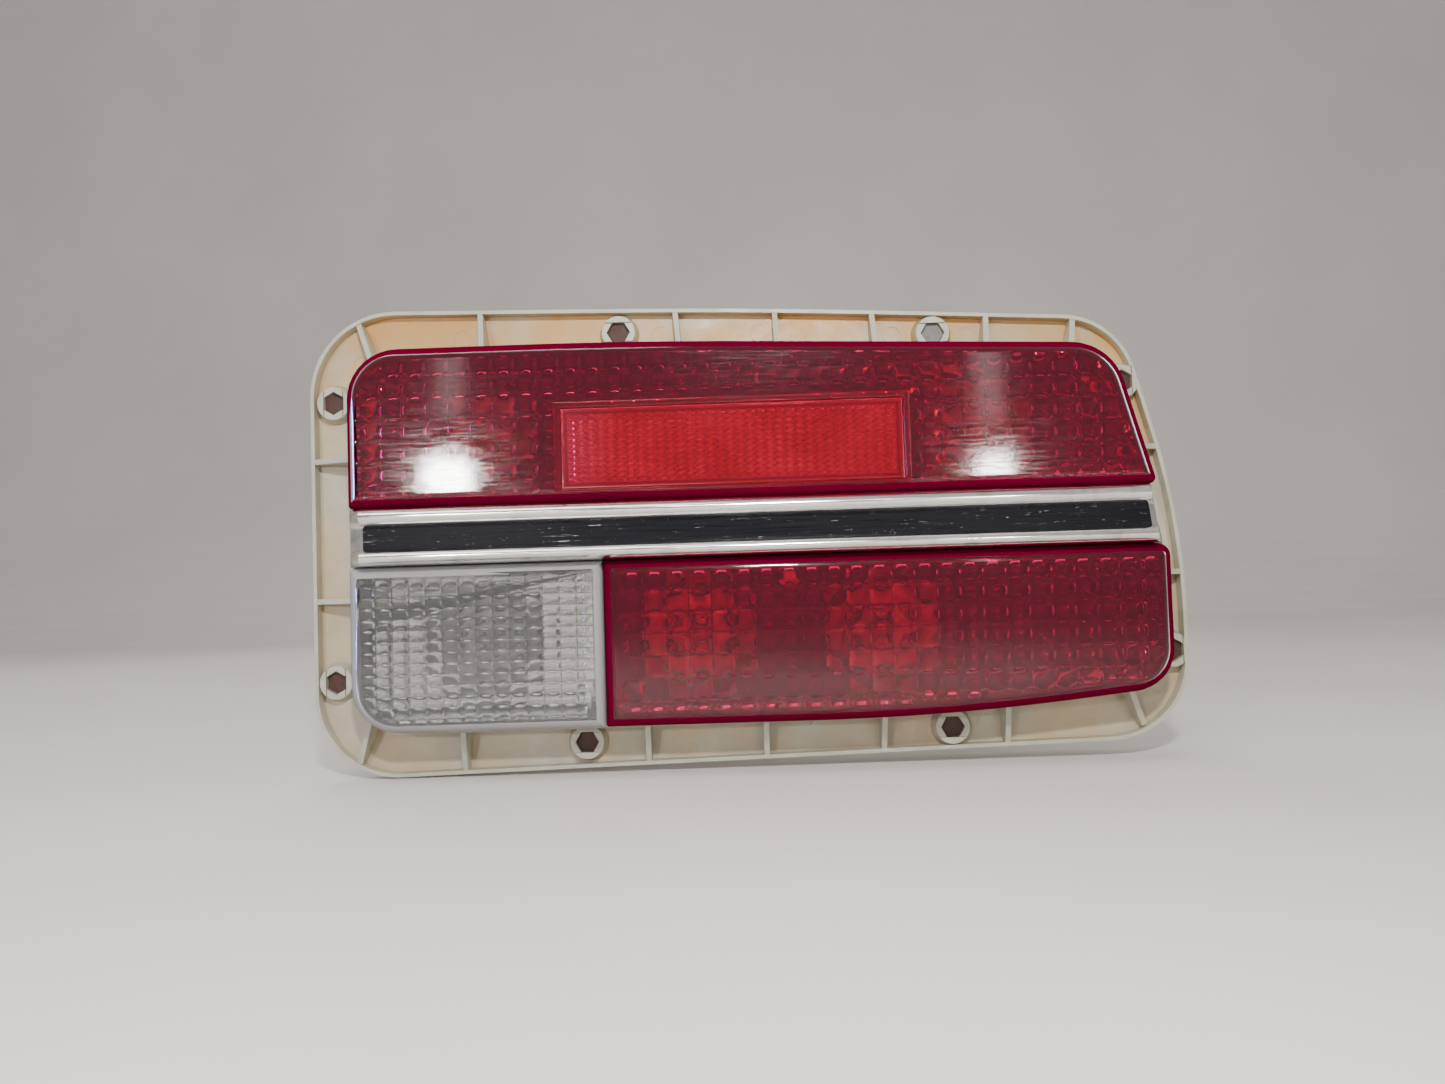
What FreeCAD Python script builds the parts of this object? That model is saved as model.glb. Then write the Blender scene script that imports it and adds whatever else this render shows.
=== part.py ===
import FreeCAD, Part
import math
import os
import Sketcher
from FreeCAD import Placement, Rotation, Vector

# Rear combination lamp of a car, right-hand side.  Millimetres, +X right seen from the rear of
# the car, +Z up, and the lamp faces -Y.  Y = 0 is the back of the flange, where it meets the body.

# Driving dimensions.  Depths are measured forward (towards -Y) or back (towards +Y) of Y = 0.
SIZES = {
    "floor_front": 3.5,
    "lip_front": 10.0,
    "lip_width": 1.8,
    "wall_front": 20.0,
    "wall_width": 2.5,
    "lens_gap": 0.3,
    "ledge_front": 10.0,
    "seal_front": 11.0,
    "ledge_width": 6.0,
    "bucket_back": 36.0,
    "bucket_wall": 2.5,
    "back_wall": 3.0,
    "web_thickness": 3.0,
    "boss_radius": 8.3,
    "boss_foot_radius": 10.3,
    "hex_flats": 10.0,
    "hex_floor": 3.0,
    "groove_width": 0.7,
    "groove_depth": 1.0,
    "rib_thickness": 2.6,
    "rib_drop": 0.3,
    "overlap": 0.5,
    "bolt_radius": 3.0,
    "bolt_neck_radius": 3.3,
    "bolt_hole_radius": 3.5,
    "bolt_head": 4.0,
    "bolt_reach": 25.0,
    "socket_hole_radius": 14.0,
    "lug_notch_radius": 17.2,
    "lug_notch_width": 8.6,
    "lens_front": 36.0,
    "lens_wall": 3.0,
    "lens_shoulder": 6.0,
    "plate_seat": 34.6,
    "plate_front": 36.6,
    "trim_back": 20.0,
    "trim_recess": 38.0,
    "trim_side": 36.0,
    "trim_crest": 43.6,
    "trim_top": 21.3,
    "trim_bottom": -6.7,
    "trim_centre": 7.0,
    "trim_left": 190.0,
    "trim_right": 198.0,
    "stud_radius": 2.0,
    "stud_hole_radius": 2.4,
    "stud_reach": 0.5,
    "nut_size": 11.0,
    "nut_thickness": 2.0,
    "gasket_thickness": 1.5,
    "gasket_width": 6.0,
    "gasket_inset": 1.0,
    "dish_front": 7.0,
    "dish_wall": 1.2,
    "dish_back": 28.0,
    "dish_hole_radius": 13.5,
    "screw_radius": 1.5,
    "upper_left_x": -131.0,
    "upper_left_z": 56.0,
    "upper_right_x": 120.0,
    "upper_right_z": 53.0,
    "lower_left_x": -27.0,
    "lower_left_z": -45.0,
    "lower_right_x": 69.0,
    "lower_right_z": -45.0,
    "reverse_x": -131.0,
    "reverse_z": -45.0,
}

LAMPS = ("upper_left", "upper_right", "lower_left", "lower_right", "reverse")
DISH_MOUTH = {"upper_left": 27.0, "upper_right": 27.0, "lower_left": 31.0, "lower_right": 31.0,
              "reverse": 31.0}

# Outlines in the XZ plane as corners (x, z, corner radius), seen from the front, clockwise.
LIP = (
    (-219.3, 124.9, 43.0), (0.0, 119.6, 4000.0), (191.0, 108.5, 38.0), (218.6, 6.1, 360.0),
    (218.6, -102.9, 40.0), (-219.3, -113.3, 42.0),
)
LENSES = (
    (-194.0, 99.4, 25.0), (-54.0, 99.4, 3000.0), (177.5, 89.2, 27.0), (204.3, -4.5, 60.0),
    (203.8, -74.0, 21.0), (95.0, -85.6, 1200.0), (-194.0, -87.0, 23.0),
)
UPPER_LENS = (
    (-194.0, 99.4, 25.0), (-54.0, 99.4, 3000.0), (177.5, 89.2, 27.0), (196.8, 21.6, 3.0),
    (-194.0, 21.6, 2.0),
)
LOWER_LENS = (
    (-69.4, -7.0, 1.0), (203.5, -7.0, 6.0), (203.5, -74.0, 21.0), (95.0, -85.6, 1200.0),
    (-69.4, -86.3, 1.0),
)
REVERSE_LENS = ((-194.0, -7.0, 2.0), (-69.6, -7.0, 1.0), (-69.6, -86.3, 1.0), (-194.0, -87.0, 23.0))
UPPER_CHAMBER = (
    (-187.0, 91.6, 18.0), (-54.0, 91.3, 3000.0), (170.0, 80.0, 20.0), (186.5, 25.0, 3.0),
    (-187.0, 25.0, 3.0),
)
LOWER_CHAMBER = (
    (-68.0, -10.5, 3.0), (196.8, -10.5, 6.0), (196.8, -67.5, 15.0), (95.0, -78.3, 1200.0),
    (-68.0, -79.5, 3.0),
)
REVERSE_CHAMBER = (
    (-187.0, -10.5, 3.0), (-70.5, -10.5, 3.0), (-70.5, -79.6, 3.0), (-187.0, -79.6, 16.0),
)
TRIM_CAVITY = ((-184.5, 22.5, 2.0), (184.0, 22.5, 2.0), (192.0, -8.0, 2.0), (-184.5, -8.0, 2.0))
REFLEX_PLATE = ((-87.0, 66.3, 2.0), (77.0, 66.3, 2.0), (77.0, 27.8, 2.0), (-87.0, 27.8, 2.0))

# Mounting bosses (x, z); the bosses beside the lens have their pockets turned by 30 degrees.
TOP_BOTTOM_BOSSES = ((-61.1, 109.1), (98.0, 103.2), (-82.4, -97.4), (100.5, -95.0))
SIDE_BOSSES = ((-207.5, 77.8), (-208.6, -64.1), (191.8, 75.4), (211.1, -60.0))
LOCATING_PIP = (32.6, -92.0, 2.0)
EJECTOR_MARKS = (
    (-142.3, 109.7), (-40.0, 108.2), (9.9, 107.5), (78.1, 103.8), (116.3, 102.0), (177.7, 99.0),
    (-194.7, 98.0), (79.7, -95.0), (118.0, -94.5),
)

# Stiffening ribs across the channel: outer end (x, z) at the lip, inner end (x, z) at the wall.
RIBS = (
    ((-194.0, 117.8), (-184.8, 97.0)), ((-131.5, 121.4), (-129.0, 98.8)),
    ((-32.0, 118.6), (-30.0, 97.6)), ((18.5, 116.7), (19.0, 95.1)), ((67.5, 114.4), (68.0, 92.7)),
    ((125.0, 111.0), (122.5, 89.9)), ((168.5, 107.6), (164.0, 86.3)),
    ((-217.9, 48.0), (-194.6, 48.0)), ((-217.9, -23.0), (-194.6, -23.0)),
    ((207.4, 42.0), (189.8, 42.0)), ((216.6, -21.0), (204.6, -21.0)),
    ((-144.0, -110.1), (-142.5, -87.1)), ((-51.5, -107.9), (-51.0, -86.8)),
    ((7.5, -106.5), (7.5, -86.4)), ((66.0, -105.1), (66.0, -85.9)), ((127.5, -103.7), (126.5, -82.4)),
    ((-197.3, -105.0), (-188.5, -82.0)), ((195.3, -96.6), (185.5, -76.4)),
)
TRIM_STUDS = (-150.0, 0.0, 150.0)
REFLECTOR_SCREWS = (
    (-178.0, 33.0), (0.0, 84.0), (165.0, 35.0), (21.0, -16.0), (182.0, -18.0), (-60.0, -73.0),
    (-179.0, -18.0), (-78.0, -72.0),
)
LUG_ANGLES = (90.0, 210.0, 330.0)
UNLOCK_TURN = 45.0
BACKWARD = Vector(0, 1, 0)


def fill_sheet(document):
    sheet = document.addObject("Spreadsheet::Sheet", "Sizes")
    for row, (name, value) in enumerate(SIZES.items(), start=1):
        sheet.set(f"A{row}", name)
        sheet.set(f"B{row}", str(value))
        sheet.setAlias(f"B{row}", name)
    document.recompute()
    return sheet


def size(name):
    return float(getattr(document.Sizes, name))


# ---------------------------------------------------------------- outlines

def rounded_loop(corners):
    """Closed wire in the XY plane through corners (x, y, radius), with a tangent arc at each."""
    count = len(corners)
    starts, arcs = [], []
    for i, (x, y, radius) in enumerate(corners):
        corner = Vector(x, y, 0)
        before = (Vector(*corners[i - 1][:2], 0) - corner).normalize()
        after = (Vector(*corners[(i + 1) % count][:2], 0) - corner).normalize()
        half = before.getAngle(after) / 2
        reach = radius / math.tan(half)
        middle = corner + (before + after).normalize() * (radius / math.sin(half) - radius)
        starts.append(corner + before * reach)
        arcs.append(Part.Arc(corner + before * reach, middle, corner + after * reach))
    edges = []
    for i, arc in enumerate(arcs):
        edges.append(arc.toShape())
        edges.append(Part.LineSegment(arc.EndPoint, starts[(i + 1) % count]).toShape())
    return Part.Wire(edges)


def polygon_loop(points):
    corners = [Vector(x, y, 0) for x, y in points]
    return Part.makePolygon(corners + corners[:1])


def circle_loop(x, y, radius):
    return Part.Wire([Part.Circle(Vector(x, y, 0), Vector(0, 0, 1), radius).toShape()])


def grown(loop, distance):
    return loop.makeOffset2D(distance, 0, False, False, True)


def rotated_points(points, angle, centre=(0.0, 0.0)):
    turn = math.radians(angle)
    return [
        (centre[0] + x * math.cos(turn) - y * math.sin(turn),
         centre[1] + x * math.sin(turn) + y * math.cos(turn))
        for x, y in points
    ]


def box_points(left, right, low, high):
    return [(left, low), (right, low), (right, high), (left, high)]


def hexagon(centre, flats, turn):
    corner = flats / math.sqrt(3)
    return polygon_loop(rotated_points(
        [(corner * math.cos(math.radians(60 * k)), corner * math.sin(math.radians(60 * k)))
         for k in range(6)], turn, centre))


# ---------------------------------------------------------------- features

def new_body(label):
    body = document.addObject("PartDesign::Body", label)
    body.Label = label
    return body


def origin_plane(body, role):
    return next(item for item in body.Origin.OriginFeatures if item.Role == role)


def draw(body, name, role, offset, loops):
    """Sketch of closed loops on an origin plane of the body, moved by offset in its own frame."""
    sketch = body.newObject("Sketcher::SketchObject", f"{body.Label}_{name}_sketch")
    sketch.AttachmentSupport = [(origin_plane(body, role), "")]
    sketch.MapMode = "FlatFace"
    sketch.AttachmentOffset = Placement(Vector(*offset), Rotation())
    for loop in loops:
        first = sketch.GeometryCount
        for edge in loop.OrderedEdges:
            curve = edge.Curve
            if isinstance(curve, Part.Circle) and not edge.isClosed():
                curve = Part.ArcOfCircle(curve, edge.FirstParameter, edge.LastParameter)
            elif isinstance(curve, Part.Line):
                ends = [vertex.Point for vertex in edge.Vertexes]
                curve = Part.LineSegment(*ends)
            sketch.addGeometry(curve, False)
        fix_joints(sketch, first)
    return sketch


def fix_joints(sketch, first):
    """Tie the end of every line and arc to the end that it meets."""
    ends = [
        (index, end, sketch.getPoint(index, end))
        for index in range(first, sketch.GeometryCount)
        if not isinstance(sketch.Geometry[index], Part.Circle)
        for end in (1, 2)
    ]
    ties = [
        Sketcher.Constraint("Coincident", a[0], a[1], b[0], b[1])
        for k, a in enumerate(ends)
        for b in ends[k + 1:]
        if a[0] != b[0] and a[2].distanceToPoint(b[2]) < 1e-6
    ]
    sketch.addConstraint(ties)


def feature(body, kind, name, sketch, length, backward=False):
    """Pad or pocket of a sketch; length is an expression of sheet sizes."""
    item = body.newObject(f"PartDesign::{kind}", f"{body.Label}_{name}")
    item.Profile = sketch
    item.setExpression("Length", length)
    item.Reversed = backward
    sketch.Visibility = False
    document.recompute()
    return item


def pad(body, name, loops, start, length, backward=False):
    """Pad loops drawn in the XZ plane.  start is an expression for how far forward they lie."""
    sketch = draw(body, name, "XZ_Plane", (0, 0, 0), loops)
    sketch.setExpression("AttachmentOffset.Base.z", start)
    return feature(body, "Pad", name, sketch, length, backward)


def pocket(body, name, loops, start, length, backward=True):
    """Pocket from start; backward cuts towards +Y, otherwise towards -Y."""
    before = body.Shape.Volume
    sketch = draw(body, name, "XZ_Plane", (0, 0, 0), loops)
    sketch.setExpression("AttachmentOffset.Base.z", start)
    cut = feature(body, "Pocket", name, sketch, length, not backward)
    if body.Shape.Volume >= before:
        raise ValueError(f"{name} cut nothing from {body.Label}")
    return cut


def turn(body, name, points, centre=(0.0, 0.0)):
    """Revolve a profile of (radius, y) points about an axis along Y through centre (x, z)."""
    loop = points if isinstance(points, Part.Wire) else polygon_loop(points)
    sketch = draw(body, name, "XY_Plane", (centre[0], 0.0, centre[1]), [loop])
    item = body.newObject("PartDesign::Revolution", f"{body.Label}_{name}")
    item.Profile = sketch
    item.ReferenceAxis = (sketch, ["V_Axis"])
    item.Angle = 360.0
    sketch.Visibility = False
    document.recompute()
    return item


def soften(body, name, edges, radius):
    """Fillet the edges of the body's last feature that the test picks."""
    last = body.Tip
    picked = [
        f"Edge{index}"
        for index, edge in enumerate(last.Shape.Edges, start=1)
        if edges(edge)
    ]
    item = body.newObject("PartDesign::Fillet", f"{body.Label}_{name}")
    item.Base = (last, picked)
    item.setExpression("Radius", radius)
    document.recompute()
    return item


def at_front(depth):
    def on_plane(edge):
        box = edge.BoundBox
        return abs(box.YMin + depth) < 1e-4 and abs(box.YMax + depth) < 1e-4
    return on_plane


def box(name, corner, lengths):
    item = document.addObject("Part::Box", name)
    item.Length, item.Width, item.Height = lengths
    item.Placement = Placement(Vector(*corner), Rotation())
    return item


def fuse(name, pieces):
    item = document.addObject("Part::MultiFuse", name)
    item.Shapes = pieces
    item.Label = name
    return item


def cut(name, base, tool):
    item = document.addObject("Part::Cut", name)
    item.Base = base
    item.Tool = tool
    item.Label = name
    return item


def common(name, pieces):
    item = document.addObject("Part::MultiCommon", name)
    item.Shapes = pieces
    item.Label = name
    return item


def group(name, pieces):
    """Identical separate solids as one node."""
    item = document.addObject("Part::Compound", name)
    item.Links = pieces
    item.Label = name
    return item


def place_at_lamp(item, lamp):
    item.setExpression("Placement.Base.x", f"Sizes.{lamp}_x")
    item.setExpression("Placement.Base.z", f"Sizes.{lamp}_z")


# ---------------------------------------------------------------- housing

def key_notches(lamp, reach, width, angle_offset):
    """Rectangles out to reach at each lug angle, as drawn in the XZ plane."""
    centre = (size(f"{lamp}_x"), size(f"{lamp}_z"))
    bar = box_points(0.0, reach, -width / 2, width / 2)
    return [
        polygon_loop(rotated_points(bar, angle + angle_offset, centre))
        for angle in LUG_ANGLES
    ]


def keyed_hole(lamp):
    """One closed loop: the socket hole with its three lug notches."""
    centre = (size(f"{lamp}_x"), size(f"{lamp}_z"))
    disc = Part.Face(circle_loop(*centre, size("socket_hole_radius")))
    notches = key_notches(lamp, size("lug_notch_radius"), size("lug_notch_width"), UNLOCK_TURN)
    whole = disc.multiFuse([Part.Face(loop) for loop in notches]).removeSplitter()
    return whole.Faces[0].OuterWire


def make_rib(index, outer, inner):
    """Wedge from the lip to the inner wall, rising from the lip's height to the wall's."""
    item = document.addObject("Part::Wedge", f"rib_{index}")
    run = Vector(inner[0] - outer[0], 0, inner[1] - outer[1])
    half = "Sizes.rib_thickness / 2"
    for low, high in (("Xmin", "Xmax"), ("X2min", "X2max")):
        item.setExpression(low, f"-{half}")
        item.setExpression(high, half)
    item.Ymin, item.Ymax, item.Zmin, item.Z2min = 0.0, run.Length, 0.0, 0.0
    item.setExpression("Zmax", "Sizes.lip_front - Sizes.floor_front + Sizes.overlap - Sizes.rib_drop")
    item.setExpression("Z2max", "Sizes.wall_front - Sizes.floor_front - Sizes.overlap")
    item.Placement = Placement(
        Vector(outer[0], 0, outer[1]),
        Rotation(Vector(), run, Vector(0, -1, 0), "ZYX"),
    )
    item.setExpression("Placement.Base.y", "Sizes.overlap - Sizes.floor_front")
    return item


def make_boss(index, centre):
    """Tapered boss from the channel's floor to the lip's height."""
    item = document.addObject("Part::Cone", f"boss_{index}")
    item.setExpression("Radius1", "Sizes.boss_foot_radius")
    item.setExpression("Radius2", "Sizes.boss_radius")
    item.setExpression("Height", "Sizes.lip_front - Sizes.floor_front + Sizes.overlap")
    item.Placement = Placement(Vector(centre[0], 0, centre[1]), Rotation(Vector(0, 0, 1), -BACKWARD))
    item.setExpression("Placement.Base.y", "Sizes.overlap - Sizes.floor_front")
    return item


def make_moulding():
    body = new_body("housing_moulding")
    lip = rounded_loop(LIP)
    lenses = rounded_loop(LENSES)
    wall_outer = grown(lenses, size("lens_gap") + size("wall_width"))
    wall_inner = grown(lenses, size("lens_gap"))
    bucket = grown(lenses, size("bucket_wall") - size("ledge_width"))
    pad(body, "floor", [lip], "0", "Sizes.floor_front")
    pad(body, "lip", [lip, grown(lip, -size("lip_width"))], "0", "Sizes.lip_front")
    pad(body, "inner_wall", [wall_outer], "0", "Sizes.wall_front")
    pad(body, "bucket", [bucket], "0", "Sizes.bucket_back", backward=True)
    pad(body, "pip", [circle_loop(*LOCATING_PIP)], "Sizes.floor_front - 0.2", "3.2")
    rings = [circle_loop(x, z, radius) for x, z in EJECTOR_MARKS for radius in (4.6, 4.1)]
    pocket(body, "ejector_marks", rings, "Sizes.floor_front", "0.3")
    pocket(body, "lens_seat", [wall_inner], "Sizes.wall_front", "Sizes.wall_front - Sizes.ledge_front")
    chambers = [rounded_loop(c) for c in (UPPER_CHAMBER, LOWER_CHAMBER, REVERSE_CHAMBER)]
    pocket(body, "chambers", chambers, "Sizes.ledge_front",
           "Sizes.ledge_front + Sizes.bucket_back - Sizes.back_wall")
    pocket(body, "trim_cavity", [rounded_loop(TRIM_CAVITY)], "-Sizes.bucket_back",
           "Sizes.bucket_back + Sizes.ledge_front - Sizes.web_thickness", backward=False)
    pocket(body, "socket_holes", [keyed_hole(lamp) for lamp in LAMPS],
           "Sizes.back_wall + 1 - Sizes.bucket_back", "Sizes.back_wall + 2")
    pocket(body, "gasket_groove", gasket_loops(), "Sizes.gasket_thickness", "Sizes.gasket_thickness + 1")
    studs = [circle_loop(x, size("trim_centre"), size("stud_hole_radius")) for x in TRIM_STUDS]
    pocket(body, "stud_holes", studs, "Sizes.ledge_front", "Sizes.web_thickness")
    return body


def gasket_loops():
    """Outer and inner edge of the foam ring round the bucket."""
    inner = grown(rounded_loop(LENSES), size("bucket_wall") - size("ledge_width") + size("gasket_inset"))
    return [grown(inner, size("gasket_width")), inner]


def make_housing():
    ribs = [make_rib(index, *ends) for index, ends in enumerate(RIBS, start=1)]
    envelope = new_body("housing_envelope")
    pad(envelope, "outline", [rounded_loop(LIP)], "Sizes.wall_front",
        "Sizes.wall_front + Sizes.bucket_back", backward=True)
    centres = TOP_BOTTOM_BOSSES + SIDE_BOSSES
    bosses = [make_boss(index, centre) for index, centre in enumerate(centres, start=1)]
    solid = fuse("ribbed_moulding", [make_moulding()] + ribs + bosses)
    whole = common("housing_blank", [solid, envelope])
    return cut("housing", whole, make_boss_cuts())


def make_boss_cuts():
    """Hex pockets, their side grooves, the bolt holes and the lens seat, as one tool."""
    body = new_body("boss_cuts")
    turned = [(centre, 0.0) for centre in TOP_BOTTOM_BOSSES]
    turned += [(centre, 90.0) for centre in SIDE_BOSSES]
    holes = [circle_loop(*centre, size("bolt_hole_radius")) for centre, _ in turned]
    pad(body, "holes", holes, "-1", "Sizes.hex_floor + 2")
    pockets = [hexagon(centre, size("hex_flats") + 0.4, angle) for centre, angle in turned]
    pad(body, "pockets", pockets, "Sizes.hex_floor", "Sizes.lip_front")
    seat = grown(rounded_loop(LENSES), size("lens_gap"))
    pad(body, "lens_space", [seat], "Sizes.ledge_front", "Sizes.wall_front - Sizes.ledge_front + 1")
    grooves = []
    half_flats = size("hex_flats") / 2 + 0.2
    for centre, angle in turned:
        for low in (half_flats - size("groove_width"), -half_flats):
            bar = box_points(-7.6, 7.6, low, low + size("groove_width"))
            grooves.append(polygon_loop(rotated_points(bar, angle, centre)))
    for index, loop in enumerate(grooves, start=1):
        pad(body, f"groove_{index}", [loop], "Sizes.lip_front - Sizes.groove_depth",
            "Sizes.groove_depth + 1")
    return body


# ---------------------------------------------------------------- lenses, trim and seals

def make_lens(label, corners):
    body = new_body(label)
    outline = rounded_loop(corners)
    pad(body, "block", [outline], "Sizes.seal_front", "Sizes.lens_front - Sizes.seal_front")
    soften(body, "shoulder", at_front(size("lens_front")), "Sizes.lens_shoulder")
    pocket(body, "inside", [grown(outline, -size("lens_wall"))], "Sizes.lens_front - Sizes.lens_wall",
           "Sizes.lens_front - Sizes.lens_wall - Sizes.seal_front")
    return body


def make_upper_lens():
    body = make_lens("upper_lens", UPPER_LENS)
    pocket(body, "plate_seat", [grown(rounded_loop(REFLEX_PLATE), 0.3)], "Sizes.lens_front",
           "Sizes.lens_front - Sizes.plate_seat")
    return body


def make_reflex_plate():
    body = new_body("reflex_reflector")
    pad(body, "plate", [rounded_loop(REFLEX_PLATE)], "Sizes.plate_seat",
        "Sizes.plate_front - Sizes.plate_seat")
    return body


def trim_profile():
    """Section (y, z): a rounded ridge above and below a flat painted recess."""
    recess, side, crest = -size("trim_recess"), -size("trim_side"), -size("trim_crest")
    top, bottom, back = size("trim_top"), size("trim_bottom"), -size("trim_back")
    upper = Part.Arc(Vector(recess, 12, 0), Vector(crest, 16.2, 0), Vector(side, top, 0))
    lower = Part.Arc(Vector(side, bottom, 0), Vector(crest, -3.4, 0), Vector(recess, 0, 0))
    rear = [Vector(side, top, 0), Vector(back, top, 0), Vector(back, bottom, 0), Vector(side, bottom, 0)]
    straight = [Part.LineSegment(a, b).toShape() for a, b in zip(rear, rear[1:])]
    floor = Part.LineSegment(Vector(recess, 0, 0), Vector(recess, 12, 0)).toShape()
    return Part.Wire([floor, upper.toShape()] + straight + [lower.toShape()])


def make_trim_bar():
    body = new_body("trim_bar")
    sketch = draw(body, "section", "YZ_Plane", (0, 0, -size("trim_left")), [trim_profile()])
    feature(body, "Pad", "bar", sketch, "Sizes.trim_left + Sizes.trim_right")
    slant = polygon_loop([(194.8, 22.0), (198.2, -7.0), (199.0, -7.0), (199.0, 22.0)])
    pocket(body, "slanted_end", [slant], "50", "40")
    hollow = polygon_loop(box_points(-188.0, 192.0, -4.9, 19.5))
    pocket(body, "hollow", [hollow], "36", "36 - Sizes.trim_back")
    studs = [circle_loop(x, size("trim_centre"), size("stud_radius")) for x in TRIM_STUDS]
    pad(body, "studs", studs, "36.5", "36.5 - Sizes.stud_reach", backward=True)
    return body


def make_trim_nuts():
    nuts = []
    for index, x in enumerate(TRIM_STUDS, start=1):
        body = new_body(f"trim_nut_{index}")
        half, middle = size("nut_size") / 2, size("trim_centre")
        outline = polygon_loop(box_points(x - half, x + half, middle - half, middle + half))
        hole = circle_loop(x, middle, size("stud_radius"))
        pad(body, "plate", [outline, hole], "Sizes.ledge_front - Sizes.web_thickness",
            "Sizes.nut_thickness", backward=True)
        nuts.append(body)
    return group("trim_nuts", nuts)


def make_lens_seal():
    """Bead of sealant under the lens rims, with a bar on each side of the trim's web."""
    body = new_body("lens_seal")
    edge = grown(rounded_loop(LENSES), -0.2)
    openings = [
        grown(rounded_loop(corners), 1.0)
        for corners in (UPPER_CHAMBER, LOWER_CHAMBER, REVERSE_CHAMBER)
    ]
    web = rounded_loop(((-185.0, 18.0, 2.0), (185.0, 18.0, 2.0), (192.0, -3.5, 2.0), (-185.0, -3.5, 2.0)))
    pad(body, "bead", [edge], "Sizes.ledge_front", "Sizes.seal_front - Sizes.ledge_front")
    pocket(body, "openings", openings + [web], "Sizes.seal_front",
           "Sizes.seal_front - Sizes.ledge_front")
    return body


def make_panel_gasket():
    """Foam ring, flush in its groove in the back of the flange."""
    body = new_body("panel_gasket")
    pad(body, "ring", gasket_loops(), "0", "Sizes.gasket_thickness")
    return body


# ---------------------------------------------------------------- reflectors and fasteners

def make_reflector(label, corners, lamps):
    """Metallised tray: a flat plate inside the chamber with a dish round each bulb."""
    body = new_body(label)
    plate = grown(rounded_loop(corners), -0.4)
    mouths = [
        circle_loop(size(f"{lamp}_x"), size(f"{lamp}_z"), DISH_MOUTH[lamp] - 0.6) for lamp in lamps
    ]
    holes = [
        circle_loop(x, z, size("screw_radius"))
        for x, z in REFLECTOR_SCREWS
        if plate_holds(plate, x, z)
    ]
    pad(body, "plate", [plate] + mouths + holes, "Sizes.dish_front - Sizes.dish_wall",
        "Sizes.dish_wall")
    for lamp in lamps:
        turn(body, f"{lamp}_dish", dish_profile(DISH_MOUTH[lamp]),
             (size(f"{lamp}_x"), size(f"{lamp}_z")))
    return body


def plate_holds(plate, x, z):
    return Part.Face(plate).isInside(Vector(x, z, 0), 0.01, True)


def dish_profile(mouth):
    """Bowl section (radius, y) from the mouth at the plate to the bulb hole at the back."""
    front, back, wall = -size("dish_front"), size("dish_back"), size("dish_wall")
    hole = size("dish_hole_radius")
    bulge = Vector((mouth + hole) / 2 + 4.5, (front + back) / 2 + 4.5, 0)
    inner = Part.Arc(Vector(mouth - wall, front, 0), bulge - Vector(wall, wall, 0) * 0.7,
                     Vector(hole, back - wall, 0))
    outer = Part.Arc(Vector(hole, back, 0), bulge, Vector(mouth, front, 0))
    rim = Part.LineSegment(Vector(hole, back - wall, 0), Vector(hole, back, 0))
    lip = Part.LineSegment(Vector(mouth, front, 0), Vector(mouth - wall, front, 0))
    return Part.Wire([edge.toShape() for edge in (inner, rim, outer, lip)])


def make_reflector_screws():
    screws = []
    for index, (x, z) in enumerate(REFLECTOR_SCREWS, start=1):
        body = new_body(f"reflector_screw_{index}")
        front = size("dish_front")
        shank = size("screw_radius") - 0.05
        head = [(0, -front - 2), (1.8, -front - 1.6), (2.8, -front)]
        profile = head + [(shank, -front), (shank, 2), (0, 2)]
        turn(body, "screw", profile, (x, z))
        screws.append(body)
    return group("reflector_screws", screws)


def make_mounting_bolts():
    """Hex-headed bolts held in the pockets, with their threaded ends through the body panel."""
    bolts = []
    turned = [(centre, 0.0) for centre in TOP_BOTTOM_BOSSES]
    turned += [(centre, 90.0) for centre in SIDE_BOSSES]
    for index, (centre, angle) in enumerate(turned, start=1):
        body = new_body(f"mounting_bolt_{index}")
        pad(body, "head", [hexagon(centre, size("hex_flats"), angle)], "Sizes.hex_floor",
            "Sizes.bolt_head")
        pad(body, "neck", [circle_loop(*centre, size("bolt_neck_radius"))], "Sizes.hex_floor",
            "Sizes.hex_floor", backward=True)
        pad(body, "shank", [circle_loop(*centre, size("bolt_radius"))], "0", "Sizes.bolt_reach",
            backward=True)
        bolts.append(body)
    return group("mounting_bolts", bolts)


# ---------------------------------------------------------------- bulb holders

def make_holder(lamp):
    """Twist-lock holder: barrel through the wall, lugs inside it, flange and grip outside."""
    body = new_body(f"{lamp}_holder")
    barrel = [
        (9.6, 22.0), (11.4, 22.0), (11.4, 29.6), (13.6, 29.6), (13.6, 38.0), (19.0, 38.0),
        (19.0, 41.0), (14.0, 41.0), (14.0, 50.0), (12.0, 52.0), (0.0, 52.0), (0.0, 47.0),
        (9.6, 47.0),
    ]
    turn(body, "barrel", barrel)
    lug = box_points(12.0, 16.6, -3.6, 3.6)
    lugs = [polygon_loop(rotated_points(lug, angle)) for angle in LUG_ANGLES]
    pad(body, "lugs", lugs, "-29.6", "3", backward=True)
    wing = box_points(-18.0, 18.0, -1.8, 1.8)
    pad(body, "grip", [polygon_loop(rotated_points(wing, 0.0))], "-40.5", "15.5", backward=True)
    pocket(body, "inside", [circle_loop(0.0, 0.0, 9.6)], "-40", "7")
    slots = [polygon_loop(box_points(x - 0.45, x + 0.45, -3.3, 3.3)) for x in (-5.0, 5.0)]
    pocket(body, "terminal_slots", slots, "-46", "12")
    place_at_lamp(body, lamp)
    return body


def make_seal(lamp):
    body = new_body(f"{lamp}_seal")
    turn(body, "ring", [(14.2, 36.1), (18.6, 36.1), (18.6, 38.0), (14.2, 38.0)])
    place_at_lamp(body, lamp)
    return body


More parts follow.
